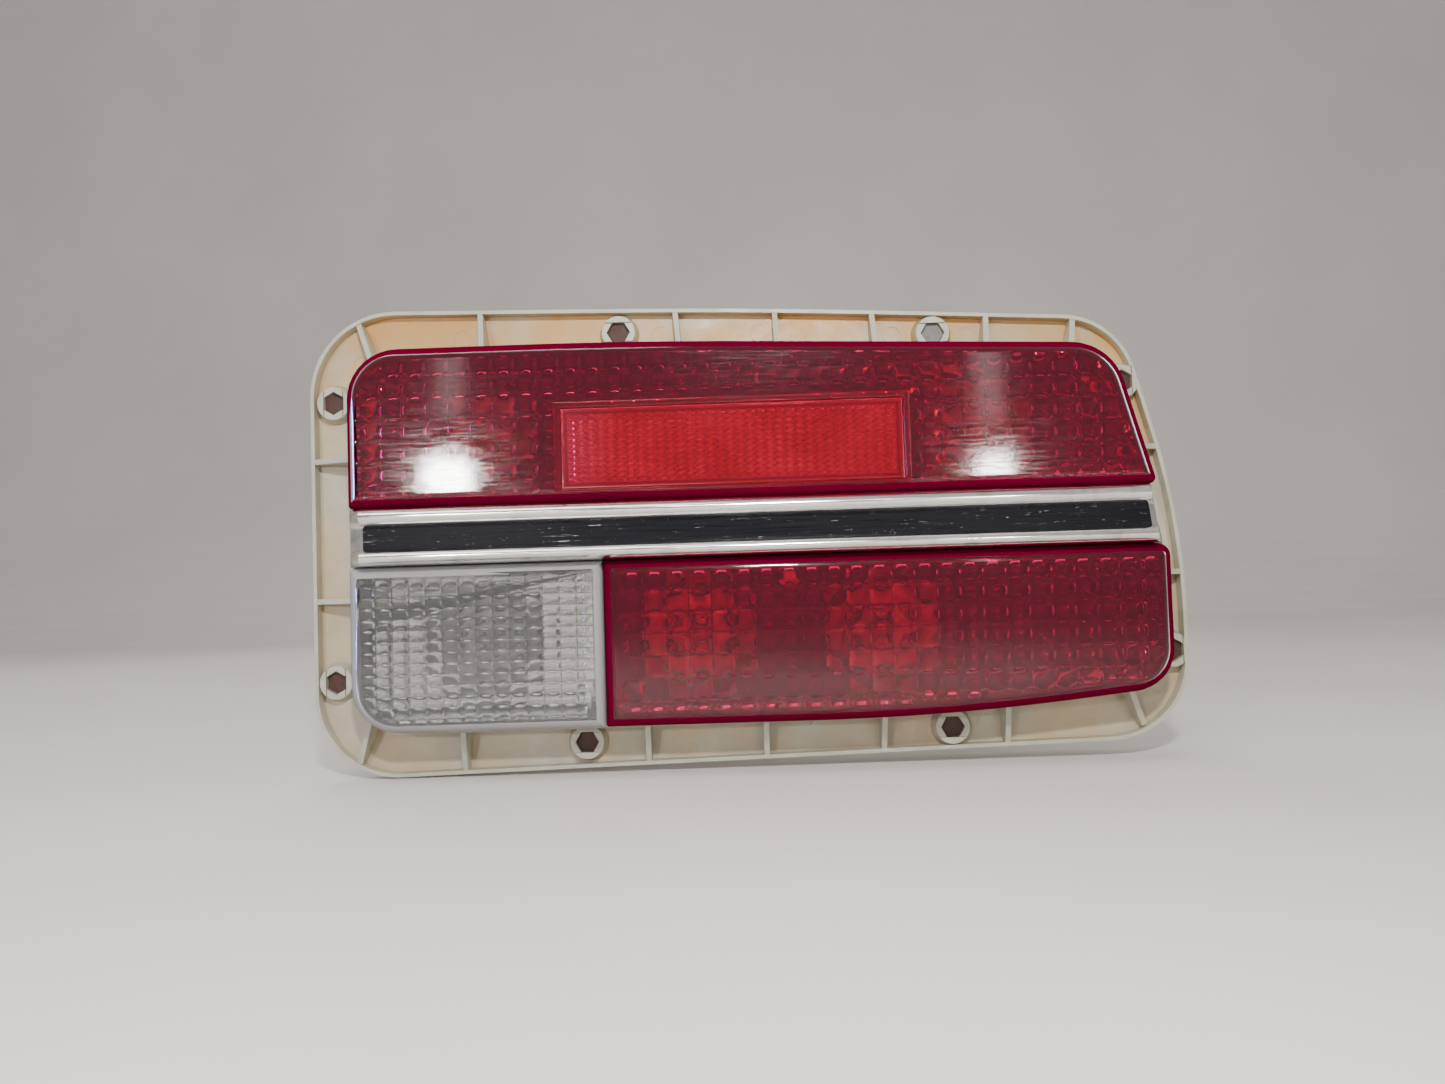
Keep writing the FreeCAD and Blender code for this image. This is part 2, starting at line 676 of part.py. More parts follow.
def make_sleeve(lamp):
    """Bayonet sleeve with a hooked slot on each side for the bulb's pins."""
    name = f"{lamp}_sleeve"
    body = new_body(f"{name}_tube")
    turn(body, "tube", [(7.8, 23.0), (8.4, 23.0), (8.4, 39.0), (9.6, 39.0), (9.6, 39.8), (7.8, 39.8)])
    slots = []
    for side, direction in (("right", 0.0), ("left", 180.0)):
        lock = box(f"{name}_{side}_lock", (6.0, 28.6, -1.25), (4.0, 4.9, 2.5))
        entry = box(f"{name}_{side}_entry", (6.0, 22.0, -1.25), (4.0, 11.5, 2.5))
        hook = document.addObject("Part::Cylinder", f"{name}_{side}_hook")
        hook.Radius, hook.Height, hook.Angle = 9.0, 2.4, 30.0
        lock.Placement = Placement(Vector(), Rotation(BACKWARD, direction)) * lock.Placement
        entry.Placement = Placement(Vector(), Rotation(BACKWARD, direction + 30.0)) * entry.Placement
        hook.Placement = Placement(Vector(0, 31.1, 0), Rotation(BACKWARD, direction)
                                   * Rotation(Vector(1, 0, 0), -90.0))
        slots += [lock, entry, hook]
    sleeve = cut(name, body, fuse(f"{name}_slots", slots))
    place_at_lamp(sleeve, lamp)
    return sleeve


def make_contact(lamp):
    """Sprung contact: an insulating disc with a brass button ahead and a boss behind."""
    body = new_body(f"{lamp}_contact")
    profile = [
        (0.0, 39.4), (2.0, 39.4), (2.0, 40.4), (7.0, 40.4), (7.0, 41.6), (3.0, 41.6), (3.0, 43.0),
        (0.0, 43.0),
    ]
    turn(body, "plunger", profile)
    place_at_lamp(body, lamp)
    return body


def make_spring(lamp):
    """Compression spring between the contact disc and the holder's floor."""
    wire, mean, length, pitch = 0.4, 4.2, 4.2, 1.4
    helix = Part.makeLongHelix(pitch, length, mean)
    start = Part.Wire([Part.Circle(Vector(mean, 0, 0), Vector(0, 1, 0), wire).toShape()])
    coil = Part.Wire(helix).makePipeShell([start], True, True)
    item = document.addObject("Part::Feature", f"{lamp}_spring")
    item.Label = f"{lamp}_spring"
    coil.rotate(Vector(), Vector(1, 0, 0), -90.0)
    coil.translate(Vector(0, 42.2, 0))
    item.Shape = coil
    place_at_lamp(item, lamp)
    return item


def make_terminals(lamp):
    """Two flat tabs through the back of the holder for the wiring plug."""
    tabs = [
        box(f"{lamp}_tab_{index}", (x - 0.4, 46.8, -3.15), (0.8, 15.2, 6.3))
        for index, x in enumerate((-5.0, 5.0), start=1)
    ]
    terminals = group(f"{lamp}_terminals", tabs)
    place_at_lamp(terminals, lamp)
    return terminals


def envelope_profile(bulb_radius, wall):
    """Hollow envelope (radius, y): a sphere in front that runs straight into its neck."""
    slope = math.radians(40.0)
    tangent = Vector(-math.sin(slope), math.cos(slope), 0)
    edges, sides = [], []
    for radius, neck in ((bulb_radius, 6.6), (bulb_radius - wall, 6.6 - wall)):
        middle = Vector(radius * math.cos(0.2), -radius * math.sin(0.2), 0)
        end = Vector(radius * math.cos(slope), radius * math.sin(slope), 0)
        shoulder = end + tangent * ((end.x - neck) / -tangent.x)
        foot = Vector(neck, 20.6, 0)
        edges.append(Part.Arc(Vector(0, -radius, 0), middle, end).toShape())
        edges.append(Part.LineSegment(end, shoulder).toShape())
        edges.append(Part.LineSegment(shoulder, foot).toShape())
        sides.append((Vector(0, -radius, 0), foot))
    for outer, inner in zip(*sides):
        edges.append(Part.LineSegment(outer, inner).toShape())
    return Part.Wire(Part.__sortEdges__(edges))


def make_bulb(lamp):
    """Bayonet bulb: brass base with two pins, glass envelope and filament on its posts."""
    base = new_body(f"{lamp}_bulb_base")
    turn(base, "cap", [
        (0.0, 20.6), (6.9, 20.6), (7.5, 21.2), (7.5, 36.8), (6.5, 38.0), (2.2, 38.4), (1.8, 39.4),
        (0.0, 39.4),
    ])
    sketch = draw(base, "pins", "YZ_Plane", (0, 0, 0), [circle_loop(30.0, 0.0, 1.0)])
    pins = feature(base, "Pad", "pins", sketch, "18")
    pins.Midplane = True
    glass = new_body(f"{lamp}_bulb_glass")
    turn(glass, "envelope", envelope_profile(12.3, 0.8))
    filament = new_body(f"{lamp}_filament")
    pad(filament, "stem", [circle_loop(0.0, 0.0, 2.6)], "-20.6", "9")
    pad(filament, "posts", [circle_loop(x, 0.0, 0.35) for x in (-2.0, 2.0)], "-12", "13.35")
    wire = draw(filament, "coil", "YZ_Plane", (0, 0, -2.35), [circle_loop(-1.0, 0.0, 0.35)])
    feature(filament, "Pad", "coil", wire, "4.7")
    for body in (base, glass, filament):
        place_at_lamp(body, lamp)
    return [base, glass, filament]


def make_lamp(lamp):
    pieces = [
        make_holder(lamp), make_seal(lamp), make_sleeve(lamp), make_contact(lamp),
        make_spring(lamp), make_terminals(lamp),
    ]
    return pieces + make_bulb(lamp)


# ---------------------------------------------------------------- document and files

def write_parts(pieces):
    for item in document.Objects:
        if {"Invalid", "Error"} & set(item.State):
            raise ValueError(f"{item.Label} did not build: {item.State}")
    for item in pieces:
        shape = item.Shape
        if shape.isNull() or not shape.isValid() or not shape.Solids:
            raise ValueError(f"{item.Label} has no sound solid")
        shape.exportStep(f"parts/{item.Label}.step")


os.makedirs("parts", exist_ok=True)
document = FreeCAD.newDocument("rear_lamp")
fill_sheet(document)
nodes = [
    make_housing(),
    make_reflector("upper_reflector", UPPER_CHAMBER, ("upper_left", "upper_right")),
    make_reflector("lower_reflector", LOWER_CHAMBER, ("lower_left", "lower_right")),
    make_reflector("reverse_reflector", REVERSE_CHAMBER, ("reverse",)),
    make_reflector_screws(),
    make_upper_lens(),
    make_lens("lower_lens", LOWER_LENS),
    make_lens("reverse_lens", REVERSE_LENS),
    make_reflex_plate(),
    make_trim_bar(),
    make_trim_nuts(),
    make_lens_seal(),
    make_panel_gasket(),
    make_mounting_bolts(),
]
for lamp_name in LAMPS:
    nodes += make_lamp(lamp_name)
document.recompute()
write_parts(nodes)
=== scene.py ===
import math
import bmesh
import bpy
import numpy as np
from mathutils import Matrix, Vector
from mathutils.geometry import tessellate_polygon


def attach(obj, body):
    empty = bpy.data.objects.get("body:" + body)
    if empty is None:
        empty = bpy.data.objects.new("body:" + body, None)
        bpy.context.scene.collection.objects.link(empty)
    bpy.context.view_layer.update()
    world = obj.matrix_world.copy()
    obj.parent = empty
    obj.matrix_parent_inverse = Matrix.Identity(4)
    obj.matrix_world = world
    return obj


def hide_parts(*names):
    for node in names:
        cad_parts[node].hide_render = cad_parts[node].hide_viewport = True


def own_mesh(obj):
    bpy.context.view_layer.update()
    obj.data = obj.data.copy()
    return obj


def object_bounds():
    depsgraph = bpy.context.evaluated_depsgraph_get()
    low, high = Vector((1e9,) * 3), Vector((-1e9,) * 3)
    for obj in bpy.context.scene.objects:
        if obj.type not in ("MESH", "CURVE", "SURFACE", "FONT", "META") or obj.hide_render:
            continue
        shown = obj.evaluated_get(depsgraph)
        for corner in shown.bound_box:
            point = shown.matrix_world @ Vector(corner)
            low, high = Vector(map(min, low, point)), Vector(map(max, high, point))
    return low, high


# Rear combination lamp round its CAD frame.  X runs along the lamp, -Y is the front, Z is up.
# Lenses, reflex plate and trim bar are built here; every other piece keeps its CAD mesh.

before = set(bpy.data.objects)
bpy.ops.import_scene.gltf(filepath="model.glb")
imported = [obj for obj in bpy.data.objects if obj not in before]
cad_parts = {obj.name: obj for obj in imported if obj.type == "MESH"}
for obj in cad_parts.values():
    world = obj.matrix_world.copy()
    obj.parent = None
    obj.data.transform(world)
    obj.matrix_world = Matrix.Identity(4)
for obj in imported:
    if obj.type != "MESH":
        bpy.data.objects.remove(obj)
cad_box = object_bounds()
MM = 0.001

# Outlines in the XZ plane as corners (x, z, corner radius) in millimetres, clockwise from the front.
# Each lens has the outline of its foot, which sits in the housing, and of its skin in front of that.
UPPER_FOOT = (
    (-194.0, 99.4, 25.0), (-54.0, 99.4, 3000.0), (177.5, 89.2, 27.0), (196.8, 21.6, 3.0),
    (-194.0, 21.6, 2.0),
)
UPPER_SKIN = (
    (-192.8, 99.8, 25.0), (-54.0, 99.9, 3000.0), (179.8, 91.0, 27.0), (199.0, 21.6, 3.0),
    (-192.8, 21.6, 2.0),
)
LOWER_FOOT = (
    (-69.4, -7.0, 0.8), (203.5, -7.0, 6.0), (203.5, -74.0, 21.0), (95.0, -85.6, 1200.0),
    (-69.4, -86.3, 0.8),
)
LOWER_SKIN = (
    (-69.4, -7.0, 0.8), (203.3, -7.0, 6.0), (203.3, -75.6, 21.0), (95.0, -86.9, 1200.0),
    (-69.4, -87.2, 0.8),
)
REVERSE_FOOT = ((-194.0, -7.0, 2.0), (-69.6, -7.0, 0.8), (-69.6, -86.3, 0.8), (-194.0, -87.0, 23.0))
REVERSE_SKIN = ((-192.8, -7.0, 2.0), (-69.6, -7.0, 0.8), (-69.6, -87.2, 0.8), (-192.8, -87.6, 23.0))

# Lens depths, measured forwards from the panel, and thicknesses in millimetres.
FACE, SHOULDER, WALL = 36.0, 6.5, 2.6
SEAT, RIM = 11.0, 20.2
SKIN_START = RIM + 0.3
INNER_RIM = RIM + 2.0
OPTICS_INSET, OPTICS_DEPTH = WALL + 2.0, FACE - WALL
SHOULDER_STEPS = 8
# The first rows of lens faces are made opaque and dark: painted shade on the walls and shoulder.
SHADED_EDGE_ROWS = 9               # rows of faces, counted from the foot, that are opaque

# Cushions inside the lenses: width and height of one, and how far it bulges, in millimetres.
RED_CELL, RED_BULGE = (10.8, 10.5), 2.4
CLEAR_CELL, CLEAR_BULGE = (8.1, 5.3), 1.5
LOWER_BORDER = 8.0          # plain border of the lower red lens
CLEAR_RIGHT, CLEAR_TOP = -79.0, -12.0   # the clear lens is plain beyond these

REFLEX_PLATE = (-87.0, 77.0, 27.8, 66.3)   # left, right, low, high
PLATE_SEAT = 34.4
PLATE_GAP, PLATE_MARGIN = 0.3, 3.0

# Trim bar: depths and heights of its section, and where its pointed ends start and stop.
TRIM_LOW, TRIM_HIGH = -6.7, 21.3
RIDGE_FOOT, RIDGE_CREST, RECESS = 34.0, (46.5, 47.5), 38.0
TRIM_LEFT, TRIM_LEFT_FLAT, TRIM_RIGHT_FLAT, TRIM_RIGHT = -192.3, -183.5, 192.8, 198.3
END_DEPTH, END_SHARE = 30.0, 0.92
END_SLANT, SLANT_FROM = 3.4 / 28.0, 180.0

CORNER_STEPS = 9            # points on each rounded corner, less one
RUN_STEP = 13.0             # longest straight run between two points, about


# ---------------------------------------------------------------- camera, lights and floor

def place_camera():
    """A wide lens half a metre in front of the lamp, turned and rolled a little."""
    roll, across, up = math.radians(1.8), -20 / 1043, 38 / 1043
    right_axis = Vector((math.cos(roll), 0, -math.sin(roll)))
    up_axis = Vector((math.sin(roll), 0, math.cos(roll)))
    forward = (Vector((0, 1, 0)) + right_axis * across + up_axis * up).normalized()
    right_axis = forward.cross(up_axis).normalized()
    up_axis = right_axis.cross(forward)
    data = bpy.data.cameras.new("camera")
    data.lens = 26.0
    data.clip_start = 0.01
    camera = bpy.data.objects.new("camera", data)
    turned = Matrix((right_axis, up_axis, -forward)).transposed().to_4x4()
    camera.matrix_world = Matrix.Translation(Vector((-2.0, -535.0, -18.6)) * MM) @ turned
    bpy.context.scene.collection.objects.link(camera)
    bpy.context.scene.camera = camera


def add_light(name, place, target, size, power, colour):
    data = bpy.data.lights.new(name, "AREA")
    data.shape = "RECTANGLE"
    data.size, data.size_y = size
    data.energy = power
    data.color = colour
    light = bpy.data.objects.new(name, data)
    light.location = place
    light.rotation_euler = (Vector(target) - Vector(place)).to_track_quat("-Z", "Y").to_euler()
    bpy.context.scene.collection.objects.link(light)


# Name, place, target, size, watts and colour of each area light.
CENTRE, WHITE = (0, 0, 0), (1, 1, 1)
LIGHTS = (
    ("key_left", (-0.42, -1.02, 0.14), CENTRE, (0.055, 0.042), 3.2, (1.0, 0.95, 0.90)),
    ("streak_left", (-0.42, -1.05, 0.38), CENTRE, (0.035, 0.30), 0.12, (1.0, 0.93, 0.90)),
    ("key_right", (0.36, -1.02, 0.12), CENTRE, (0.04, 0.05), 1.1, (1.0, 0.95, 0.90)),
    ("streak_right", (0.36, -1.05, 0.33), CENTRE, (0.035, 0.26), 0.12, (1.0, 0.93, 0.90)),
    ("flash", (0.03, -0.62, 0.30), CENTRE, (0.05, 0.03), 5.0, WHITE),
    ("top_fill", (-0.5, -0.8, 1.5), CENTRE, (0.9, 0.6), 9.0, (1.0, 0.95, 0.88)),
    ("side_fill", (1.5, -0.7, 0.6), CENTRE, (0.8, 1.0), 4.0, (0.95, 0.97, 1.0)),
    ("blue_edge", (-0.75, -0.35, 0.05), (-0.1, 0, 0), (0.04, 0.30), 1.2, (0.25, 0.3, 1.0)),
    ("back_fill", (-0.6, 0.9, 1.2), CENTRE, (1.2, 0.8), 10.0, WHITE),
)


def light_studio():
    for light in LIGHTS:
        add_light(*light)
    light_world()


def light_world():
    """Evenly lit room, palest above.  It lights the reflectors behind the lenses."""
    world = bpy.data.worlds.new("studio")
    world.use_nodes = True
    tree = world.node_tree
    direction = tree.nodes.new("ShaderNodeTexCoord").outputs["Generated"]
    split, ramp = tree.nodes.new("ShaderNodeSeparateXYZ"), tree.nodes.new("ShaderNodeValToRGB")
    half = tree.nodes.new("ShaderNodeMath")
    half.operation = "MULTIPLY_ADD"
    half.inputs[1].default_value = half.inputs[2].default_value = 0.5
    tree.links.new(direction, split.inputs[0])
    tree.links.new(split.outputs["Z"], half.inputs[0])
    tree.links.new(half.outputs[0], ramp.inputs["Fac"])
    levels = ((0.0, 0.40), (0.46, 0.50), (0.58, 0.50), (0.74, 0.60), (1.0, 0.70))
    while len(ramp.color_ramp.elements) < len(levels):
        ramp.color_ramp.elements.new(0.5)
    for element, (place, level) in zip(ramp.color_ramp.elements, levels):
        element.position = place
        element.color = (level, level * 0.96, level * 0.92, 1)
    tree.links.new(ramp.outputs["Color"], tree.nodes["Background"].inputs["Color"])
    tree.nodes["Background"].inputs["Strength"].default_value = 0.85
    bpy.context.scene.world = world


def lay_floor(low):
    """Pale floor that sweeps up into a backdrop well behind the lamp."""
    radius, back, front, side, top = 0.5, 1.9, -3.0, 4.0, 3.5
    line = [(front, low)]
    for step in range(13):
        angle = math.radians(90 * step / 12)
        line.append((back - radius + radius * math.sin(angle), low + radius - radius * math.cos(angle)))
    line.append((back, top))
    vertices = [(x, y, z) for y, z in line for x in (-side, side)]
    faces = [(2 * i, 2 * i + 1, 2 * i + 3, 2 * i + 2) for i in range(len(line) - 1)]
    floor = new_object("floor", vertices, faces)
    paint(floor, floor_material())


# ---------------------------------------------------------------- mesh helpers

def new_object(name, vertices, faces):
    mesh = bpy.data.meshes.new(name)
    mesh.from_pydata([tuple(v) for v in vertices], [], faces)
    mesh.validate()
    mesh.update()
    piece = bpy.data.objects.new(name, mesh)
    bpy.context.scene.collection.objects.link(piece)
    return piece


def smooth(piece, angle=35.0):
    piece.data.shade_smooth()
    piece.data.set_sharp_from_angle(angle=math.radians(angle))


def paint(piece, *materials):
    piece.data.materials.clear()
    for material in materials:
        piece.data.materials.append(material)


def finish_piece(piece, body, slot, *nodes):
    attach(piece, body)
    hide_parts(*nodes)
    return piece


def outline_ring(corners, inset):
    """Points (x, z) of a rounded outline moved inwards.  Every inset gives the same number of points."""
    count = len(corners)
    places = [Vector(c[:2]) for c in corners]
    ahead = [(places[(i + 1) % count] - places[i]).normalized() for i in range(count)]
    moved, turns = [], []
    for i, (x, z, radius) in enumerate(corners):
        a, b = ahead[i - 1], ahead[i]
        normal_a, normal_b = Vector((a.y, -a.x)), Vector((b.y, -b.x))
        bisector = (normal_a + normal_b).normalized()
        moved.append(places[i] + bisector * (inset / bisector.dot(normal_a)))
        turns.append(math.acos(max(-1.0, min(1.0, a.dot(b)))))
    points, starts, arcs = [], [], []
    for i, (x, z, radius) in enumerate(corners):
        shrunk = radius if radius > 500 else max(radius - inset, 0.35)
        reach = shrunk * math.tan(turns[i] / 2)
        begin = moved[i] - ahead[i - 1] * reach
        centre = begin + Vector((ahead[i - 1].y, -ahead[i - 1].x)) * shrunk
        spoke = begin - centre
        arc = []
        for step in range(CORNER_STEPS + 1):
            angle = -turns[i] * step / CORNER_STEPS
            arc.append(centre + Matrix.Rotation(angle, 2) @ spoke)
        arcs.append(arc)
    for i in range(count):
        points += arcs[i]
        run = (places[(i + 1) % count] - places[i]).length
        pieces = max(1, round(run / RUN_STEP))
        first, last = arcs[i][-1], arcs[(i + 1) % count][0]
        points += [first.lerp(last, k / pieces) for k in range(1, pieces)]
    return points


def at_depth(points, depth):
    return [(p.x * MM, -depth * MM, p.y * MM) for p in points]


def loft(rings, flip=False):
    """Vertices and quads that join rings of equal count, each ring closed."""
    count = len(rings[0])
    vertices = [v for ring in rings for v in ring]
    faces = []
    for k in range(len(rings) - 1):
        for i in range(count):
            j = (i + 1) % count
            face = (k * count + i, k * count + j, (k + 1) * count + j, (k + 1) * count + i)
            faces.append(face[::-1] if flip else face)
    return vertices, faces


def snap_inside(points, ring):
    """Move the points that lie outside a closed ring onto it; also says which were outside."""
    ends = np.roll(ring, -1, axis=0)
    run = ends - ring
    nearest, outside = points.copy(), np.zeros(len(points), bool)
    for k, p in enumerate(points):
        along = np.clip(((p - ring) * run).sum(1) / np.maximum((run * run).sum(1), 1e-12), 0, 1)
        feet = ring + run * along[:, None]
        gap = feet - p
        best = np.argmin((gap * gap).sum(1))
        crossing = ((ring[:, 1] > p[1]) != (ends[:, 1] > p[1]))
        with np.errstate(divide="ignore", invalid="ignore"):
            where = ring[:, 0] + (p[1] - ring[:, 1]) * run[:, 0] / run[:, 1]
        outside[k] = (crossing & (p[0] < where)).sum() % 2 == 0
        if outside[k]:
            nearest[k] = feet[best]
    return nearest, outside


def pillow_sheet(ring, cell, bulge, depth, plain, steps=6):
    """Grid of small cushions inside a ring.  plain(x, z) marks places that stay flat."""
    ring = np.array([tuple(p) for p in ring])
    low, high = ring.min(0), ring.max(0)
    counts = [int(math.ceil((high[k] - low[k]) / cell[k])) for k in (0, 1)]
    nx, nz = (counts[k] * steps + 1 for k in (0, 1))
    xs = high[0] - np.arange(nx) * cell[0] / steps
    zs = high[1] - np.arange(nz) * cell[1] / steps
    grid = np.array([(x, z) for z in zs for x in xs])
    u = (np.arange(nx) % steps) / steps * 2 - 1
    w = (np.arange(nz) % steps) / steps * 2 - 1
    rise = np.outer(1 - w ** 2, 1 - u ** 2).ravel() ** 0.7 * bulge
    placed, outside = snap_inside(grid, ring)
    rise[outside] = 0
    rise[plain(placed[:, 0], placed[:, 1])] = 0
    vertices = [(x * MM, (-depth + r) * MM, z * MM) for (x, z), r in zip(placed, rise)]
    faces = []
    for j in range(nz - 1):
        for i in range(nx - 1):
            quad = (j * nx + i, (j + 1) * nx + i, (j + 1) * nx + i + 1, j * nx + i + 1)
            if not all(outside[k] for k in quad):
                faces.append(quad)
    return vertices, faces


def joined(*parts):
    """One vertex list and face list from several (vertices, faces) pairs."""
    vertices, faces = [], []
    for part_vertices, part_faces in parts:
        base = len(vertices)
        vertices += list(part_vertices)
        faces += [tuple(base + i for i in face) for face in part_faces]
    return vertices, faces


def weld(piece, distance=2e-6):
    mesh = bmesh.new()
    mesh.from_mesh(piece.data)
    bmesh.ops.remove_doubles(mesh, verts=mesh.verts, dist=distance)
    bmesh.ops.dissolve_degenerate(mesh, edges=mesh.edges, dist=1e-6)
    mesh.to_mesh(piece.data)
    mesh.free()


def recalculate(piece):
    mesh = bmesh.new()
    mesh.from_mesh(piece.data)
    bmesh.ops.recalc_face_normals(mesh, faces=mesh.faces)
    mesh.to_mesh(piece.data)
    mesh.free()


# ---------------------------------------------------------------- materials

def new_material(name, **values):
    material = bpy.data.materials.new(name)
    material.use_nodes = True
    shader = material.node_tree.nodes["Principled BSDF"]
    for key, value in values.items():
        shader.inputs[key.replace("_", " ")].default_value = value
    return material, Nodes(material.node_tree, shader)


class Nodes:
    """Short calls for building a node tree round one Principled shader."""

    def __init__(self, tree, shader):
        self.tree, self.shader = tree, shader
        self.place = tree.nodes.new("ShaderNodeTexCoord").outputs["Object"]

    def add(self, kind, **settings):
        node = self.tree.nodes.new(f"ShaderNode{kind}")
        for key, value in settings.items():
            setattr(node, key, value)
        return node

    def link(self, source, target):
        self.tree.links.new(source, target)

    def stretched(self, scale):
        node = self.add("Mapping")
        node.inputs["Scale"].default_value = scale
        self.link(self.place, node.inputs["Vector"])
        return node.outputs["Vector"]

    def noise(self, scale, detail=4.0, rough=0.55, vector=None):
        node = self.add("TexNoise")
        node.inputs["Scale"].default_value = scale
        node.inputs["Detail"].default_value = detail
        node.inputs["Roughness"].default_value = rough
        self.link(vector or self.place, node.inputs["Vector"])
        return node.outputs["Fac"]

    def ramp(self, value, low, high, low_colour=(0, 0, 0, 1), high_colour=(1, 1, 1, 1)):
        node = self.add("ValToRGB")
        node.color_ramp.elements[0].position = low
        node.color_ramp.elements[1].position = high
        node.color_ramp.elements[0].color = low_colour
        node.color_ramp.elements[1].color = high_colour
        self.link(value, node.inputs["Fac"])
        return node.outputs["Color"]

    def mix(self, factor, first, second):
        node = self.add("Mix", data_type="RGBA")
        for socket, value in ((node.inputs[0], factor), (node.inputs[6], first), (node.inputs[7], second)):
            if isinstance(value, bpy.types.NodeSocket):
                self.link(value, socket)
            else:
                socket.default_value = value
        return node.outputs[2]

    def span(self, value, low, high, to_low=0.0, to_high=1.0):
        node = self.add("MapRange")
        self.link(value, node.inputs["Value"])
        for key, number in (("From Min", low), ("From Max", high), ("To Min", to_low), ("To Max", to_high)):
            node.inputs[key].default_value = number
        return node.outputs["Result"]

    def math(self, operation, first, second):
        node = self.add("Math", operation=operation)
        for socket, value in zip(node.inputs, (first, second)):
            if isinstance(value, bpy.types.NodeSocket):
                self.link(value, socket)
            else:
                socket.default_value = value
        return node.outputs[0]

    def axis(self, name):
        node = self.add("SeparateXYZ")
        self.link(self.place, node.inputs[0])
        return node.outputs[name]

    def to(self, key, value):
        self.link(value, self.shader.inputs[key])

    def bump(self, height, strength, distance):
        node = self.add("Bump")
        node.inputs["Strength"].default_value = strength
        node.inputs["Distance"].default_value = distance
        self.link(height, node.inputs["Height"])
        self.link(node.outputs["Normal"], self.shader.inputs["Normal"])


def floor_material():
    material, n = new_material("floor_pale", Roughness=0.6)
    cloud = n.noise(3.0, 5.0)
    n.to("Base Color", n.ramp(cloud, 0.3, 0.7, (0.66, 0.63, 0.60, 1), (0.72, 0.69, 0.66, 1)))
    n.bump(n.noise(260.0, 2.0), 0.15, 0.0004)
    return material


def housing_material():
    """Cream moulded plastic, whiter on raised rims, yellowed in the channel and most along the top."""
    material, n = new_material("cream_plastic", Roughness=0.42)
    depth, height = n.axis("Y"), n.axis("Z")
    behind = n.span(depth, -0.001, 0.004, 1.0, 0.2)
    floor_mask = n.math("MULTIPLY", n.span(depth, -0.0085, -0.0045), behind)
    top_mask = n.span(height, 0.02, 0.10, 0.35, 1.0)
    stain = n.span(n.noise(22.0, 6.0, 0.6), 0.30, 0.58)
    yellow = n.math("MULTIPLY", n.math("MULTIPLY", floor_mask, top_mask), stain)
    rim = n.mix(n.span(n.noise(60.0, 4.0), 0.4, 0.7), (0.33, 0.32, 0.245, 1), (0.40, 0.39, 0.30, 1))
    n.to("Base Color", n.mix(yellow, rim, (0.46, 0.25, 0.07, 1)))
    n.to("Roughness", n.span(n.noise(140.0, 3.0), 0.3, 0.7, 0.36, 0.52))
    n.bump(n.noise(900.0, 3.0), 0.08, 0.0003)
    return material


def lens_material(name, colour, solid, gloss=0.12):
    """Dyed acrylic with fine lengthwise scuffs.  solid is its share of opaque body colour."""
    material, n = new_material(
        name, Roughness=0.03, IOR=1.49, Transmission_Weight=1.0 - solid, Specular_IOR_Level=gloss,
        Coat_Weight=gloss * 0.2, Coat_Roughness=0.22,
    )
    darker = tuple(c * 0.82 for c in colour[:3]) + (1,)
    n.to("Base Color", n.ramp(n.noise(9.0, 5.0), 0.3, 0.7, darker, colour))
    scuffs = n.noise(1.0, 5.0, 0.6, n.stretched((60.0, 60.0, 1500.0)))
    n.to("Roughness", n.span(scuffs, 0.40, 0.75, 0.03, 0.16))
    n.bump(scuffs, 0.05, 0.0002)
    return material


def optics_material(name, colour, rough, corner, cell):
    """Cushions inside a lens, with painted shade along the grooves between them.  corner is where the grid
    starts.
    """
    material, n = new_material(name, Roughness=rough, IOR=1.49, Transmission_Weight=1.0)
    gap_shades = []
    rows = ("X", corner[0], cell[0], 0.44), ("Z", corner[1], cell[1], 0.41)
    for axis, start, width, narrow in rows:
        along = n.math("DIVIDE", n.math("SUBTRACT", start * MM, n.axis(axis)), width * MM)
        offset = n.math("ABSOLUTE", n.math("SUBTRACT", n.math("FRACT", along, 0.0), 0.5), 0.0)
        gap_shades.append(n.span(offset, narrow, 0.49))
    groove_shade = n.math("MAXIMUM", *gap_shades)
    tone = n.ramp(n.noise(40.0, 3.0), 0.3, 0.7, tuple(c * 0.90 for c in colour[:3]) + (1,), colour)
    # The darkened grid lines are painted shade between the cushions.
    n.to("Base Color", n.mix(groove_shade, tone, tuple(c * 0.16 for c in colour[:3]) + (1,)))
    n.bump(n.noise(500.0, 2.0), 0.02, 0.0002)
    return material


def reflex_material():
    """Red plate: slightly milky, so that its cube corners glow where light reaches them."""
    material, n = new_material("reflex_red", Roughness=0.05, IOR=1.49, Transmission_Weight=0.86)
    pale = n.span(n.axis("X"), -0.087, -0.060, 0.45, 0.0)
    cloud = n.noise(30.0, 5.0)
    body = n.ramp(cloud, 0.3, 0.7, (0.72, 0.003, 0.035, 1), (0.88, 0.008, 0.06, 1))
    n.to("Base Color", n.mix(pale, body, (0.90, 0.10, 0.20, 1)))
    n.bump(n.noise(700.0, 2.0), 0.05, 0.0002)
    return material


